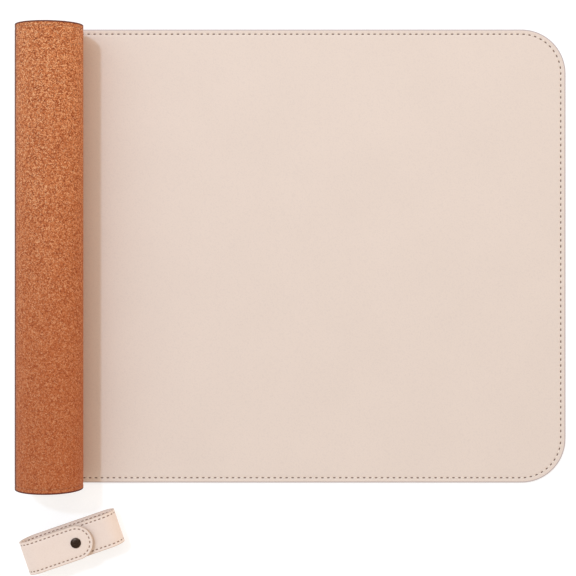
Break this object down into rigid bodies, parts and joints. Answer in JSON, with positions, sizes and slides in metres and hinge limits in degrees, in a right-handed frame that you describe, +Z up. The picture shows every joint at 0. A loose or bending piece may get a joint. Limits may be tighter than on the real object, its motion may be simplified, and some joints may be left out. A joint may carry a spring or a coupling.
{
  "type": "desk mat",
  "caption": "Rectangular desk mat with rounded corners, a stitched leather face and a cork back, one end curled into a loose roll, with a snap-closed strap beside it.",
  "frame": {"origin": "centre of the flat cork underside, on the desk", "axes": "+X along the mat's length, away from the roll; +Y across its width, away from the strap; +Z up"},
  "size_m": [0.4203, 0.418, 0.0525],
  "materials": {
    "leather_face": "matte",
    "cork_back": "matte",
    "thread": "matte",
    "strap_leather": "matte",
    "snap_metal": "satin"
  },
  "bodies": {
    "mat": {"leather_sheet": "leather_face", "cork_sheet": "cork_back", "needle_thread": "thread", "bobbin_thread": "thread"},
    "roll_01": {"leather_strip_01": "leather_face", "cork_strip_01": "cork_back"},
    "roll_02": {"leather_strip_02": "leather_face", "cork_strip_02": "cork_back"},
    "roll_03": {"leather_strip_03": "leather_face", "cork_strip_03": "cork_back"},
    "roll_04": {"leather_strip_04": "leather_face", "cork_strip_04": "cork_back"},
    "roll_05": {"leather_strip_05": "leather_face", "cork_strip_05": "cork_back"},
    "roll_06": {"leather_strip_06": "leather_face", "cork_strip_06": "cork_back"},
    "roll_07": {"leather_strip_07": "leather_face", "cork_strip_07": "cork_back"},
    "roll_08": {"leather_strip_08": "leather_face", "cork_strip_08": "cork_back"},
    "roll_09": {"leather_strip_09": "leather_face", "cork_strip_09": "cork_back"},
    "roll_10": {"leather_strip_10": "leather_face", "cork_strip_10": "cork_back"},
    "roll_11": {"leather_strip_11": "leather_face", "cork_strip_11": "cork_back"},
    "roll_12": {"leather_strip_12": "leather_face", "cork_strip_12": "cork_back"},
    "roll_13": {"leather_strip_13": "leather_face", "cork_strip_13": "cork_back"},
    "roll_14": {"leather_strip_14": "leather_face", "cork_strip_14": "cork_back"},
    "roll_15": {"leather_strip_15": "leather_face", "cork_strip_15": "cork_back"},
    "roll_16": {"leather_strip_16": "leather_face", "cork_strip_16": "cork_back"},
    "roll_17": {"leather_strip_17": "leather_face", "cork_strip_17": "cork_back"},
    "roll_18": {"leather_strip_18": "leather_face", "cork_strip_18": "cork_back"},
    "roll_19": {"leather_strip_19": "leather_face", "cork_strip_19": "cork_back"},
    "roll_20": {"leather_strip_20": "leather_face", "cork_strip_20": "cork_back"},
    "roll_21": {"leather_strip_21": "leather_face", "cork_strip_21": "cork_back"},
    "roll_22": {"leather_strip_22": "leather_face", "cork_strip_22": "cork_back"},
    "roll_23": {"leather_strip_23": "leather_face", "cork_strip_23": "cork_back"},
    "roll_24": {"leather_strip_24": "leather_face", "cork_strip_24": "cork_back"},
    "strap": {"strap_band": "strap_leather", "band_thread": "thread", "snap_stud": "snap_metal", "snap_post": "snap_metal"},
    "tab": {"strap_tab": "strap_leather", "tab_thread": "thread", "snap_cap": "snap_metal", "snap_socket": "snap_metal"}
  },
  "joints": [
    {"name": "unroll_01", "type": "hinge", "parent": "mat", "child": "roll_01", "pos_m": [-0.2014, 0, 0.00127], "axis": [0, -1, 0], "range_deg": [0, 20.4]},
    {"name": "unroll_02", "type": "hinge", "parent": "roll_01", "child": "roll_02", "pos_m": [-0.21, 0, 0.00447], "axis": [0, -1, 0], "range_deg": [0, 20.4]},
    {"name": "unroll_03", "type": "hinge", "parent": "roll_02", "child": "roll_03", "pos_m": [-0.21691, 0, 0.01043], "axis": [0, -1, 0], "range_deg": [0, 20.4]},
    {"name": "unroll_04", "type": "hinge", "parent": "roll_03", "child": "roll_04", "pos_m": [-0.22128, 0, 0.01838], "axis": [0, -1, 0], "range_deg": [0, 20.4]},
    {"name": "unroll_05", "type": "hinge", "parent": "roll_04", "child": "roll_05", "pos_m": [-0.2226, 0, 0.02731], "axis": [0, -1, 0], "range_deg": [0, 20.4]},
    {"name": "unroll_06", "type": "hinge", "parent": "roll_05", "child": "roll_06", "pos_m": [-0.22073, 0, 0.03608], "axis": [0, -1, 0], "range_deg": [0, 20.4]},
    {"name": "unroll_07", "type": "hinge", "parent": "roll_06", "child": "roll_07", "pos_m": [-0.21596, 0, 0.04361], "axis": [0, -1, 0], "range_deg": [0, 20.4]},
    {"name": "unroll_08", "type": "hinge", "parent": "roll_07", "child": "roll_08", "pos_m": [-0.2089, 0, 0.04897], "axis": [0, -1, 0], "range_deg": [0, 20.4]},
    {"name": "unroll_09", "type": "hinge", "parent": "roll_08", "child": "roll_09", "pos_m": [-0.20047, 0, 0.05151], "axis": [0, -1, 0], "range_deg": [0, 20.4]},
    {"name": "unroll_10", "type": "hinge", "parent": "roll_09", "child": "roll_10", "pos_m": [-0.19173, 0, 0.05097], "axis": [0, -1, 0], "range_deg": [0, 20.4]},
    {"name": "unroll_11", "type": "hinge", "parent": "roll_10", "child": "roll_11", "pos_m": [-0.18377, 0, 0.04743], "axis": [0, -1, 0], "range_deg": [0, 20.4]},
    {"name": "unroll_12", "type": "hinge", "parent": "roll_11", "child": "roll_12", "pos_m": [-0.17759, 0, 0.04137], "axis": [0, -1, 0], "range_deg": [0, 20.4]},
    {"name": "unroll_13", "type": "hinge", "parent": "roll_12", "child": "roll_13", "pos_m": [-0.17393, 0, 0.03359], "axis": [0, -1, 0], "range_deg": [0, 20.4]},
    {"name": "unroll_14", "type": "hinge", "parent": "roll_13", "child": "roll_14", "pos_m": [-0.17321, 0, 0.02507], "axis": [0, -1, 0], "range_deg": [0, 20.4]},
    {"name": "unroll_15", "type": "hinge", "parent": "roll_14", "child": "roll_15", "pos_m": [-0.17549, 0, 0.01689], "axis": [0, -1, 0], "range_deg": [0, 20.4]},
    {"name": "unroll_16", "type": "hinge", "parent": "roll_15", "child": "roll_16", "pos_m": [-0.18045, 0, 0.01006], "axis": [0, -1, 0], "range_deg": [0, 20.4]},
    {"name": "unroll_17", "type": "hinge", "parent": "roll_16", "child": "roll_17", "pos_m": [-0.18744, 0, 0.00541], "axis": [0, -1, 0], "range_deg": [0, 20.4]},
    {"name": "unroll_18", "type": "hinge", "parent": "roll_17", "child": "roll_18", "pos_m": [-0.19556, 0, 0.00351], "axis": [0, -1, 0], "range_deg": [0, 20.4]},
    {"name": "unroll_19", "type": "hinge", "parent": "roll_18", "child": "roll_19", "pos_m": [-0.20378, 0, 0.00455], "axis": [0, -1, 0], "range_deg": [0, 20.4]},
    {"name": "unroll_20", "type": "hinge", "parent": "roll_19", "child": "roll_20", "pos_m": [-0.21108, 0, 0.00836], "axis": [0, -1, 0], "range_deg": [0, 20.4]},
    {"name": "unroll_21", "type": "hinge", "parent": "roll_20", "child": "roll_21", "pos_m": [-0.21655, 0, 0.01444], "axis": [0, -1, 0], "range_deg": [0, 20.4]},
    {"name": "unroll_22", "type": "hinge", "parent": "roll_21", "child": "roll_22", "pos_m": [-0.21955, 0, 0.02199], "axis": [0, -1, 0], "range_deg": [0, 20.4]},
    {"name": "unroll_23", "type": "hinge", "parent": "roll_22", "child": "roll_23", "pos_m": [-0.21972, 0, 0.03007], "axis": [0, -1, 0], "range_deg": [0, 20.4]},
    {"name": "unroll_24", "type": "hinge", "parent": "roll_23", "child": "roll_24", "pos_m": [-0.21708, 0, 0.03765], "axis": [0, -1, 0], "range_deg": [0, 20.4]},
    {"name": "strap_away", "type": "slide", "parent": "mat", "child": "strap", "axis": [0, -1, 0], "range_m": [0, 0.15]},
    {"name": "tab_lift", "type": "hinge", "parent": "strap", "child": "tab", "pos_m": [-0.2028, -0.22516, 0.0242], "axis": [0.3256, -0.9455, 0], "range_deg": [0, 75]}
  ],
  "couplings": [
    {"joint": "unroll_02", "follows": "unroll_01", "ratio": 1},
    {"joint": "unroll_03", "follows": "unroll_01", "ratio": 1},
    {"joint": "unroll_04", "follows": "unroll_01", "ratio": 1},
    {"joint": "unroll_05", "follows": "unroll_01", "ratio": 1},
    {"joint": "unroll_06", "follows": "unroll_01", "ratio": 1},
    {"joint": "unroll_07", "follows": "unroll_01", "ratio": 1},
    {"joint": "unroll_08", "follows": "unroll_01", "ratio": 1},
    {"joint": "unroll_09", "follows": "unroll_01", "ratio": 1},
    {"joint": "unroll_10", "follows": "unroll_01", "ratio": 1},
    {"joint": "unroll_11", "follows": "unroll_01", "ratio": 1},
    {"joint": "unroll_12", "follows": "unroll_01", "ratio": 1},
    {"joint": "unroll_13", "follows": "unroll_01", "ratio": 1},
    {"joint": "unroll_14", "follows": "unroll_01", "ratio": 1},
    {"joint": "unroll_15", "follows": "unroll_01", "ratio": 1},
    {"joint": "unroll_16", "follows": "unroll_01", "ratio": 1},
    {"joint": "unroll_17", "follows": "unroll_01", "ratio": 1},
    {"joint": "unroll_18", "follows": "unroll_01", "ratio": 1},
    {"joint": "unroll_19", "follows": "unroll_01", "ratio": 1},
    {"joint": "unroll_20", "follows": "unroll_01", "ratio": 1},
    {"joint": "unroll_21", "follows": "unroll_01", "ratio": 1},
    {"joint": "unroll_22", "follows": "unroll_01", "ratio": 1},
    {"joint": "unroll_23", "follows": "unroll_01", "ratio": 1},
    {"joint": "unroll_24", "follows": "unroll_01", "ratio": 1}
  ]
}
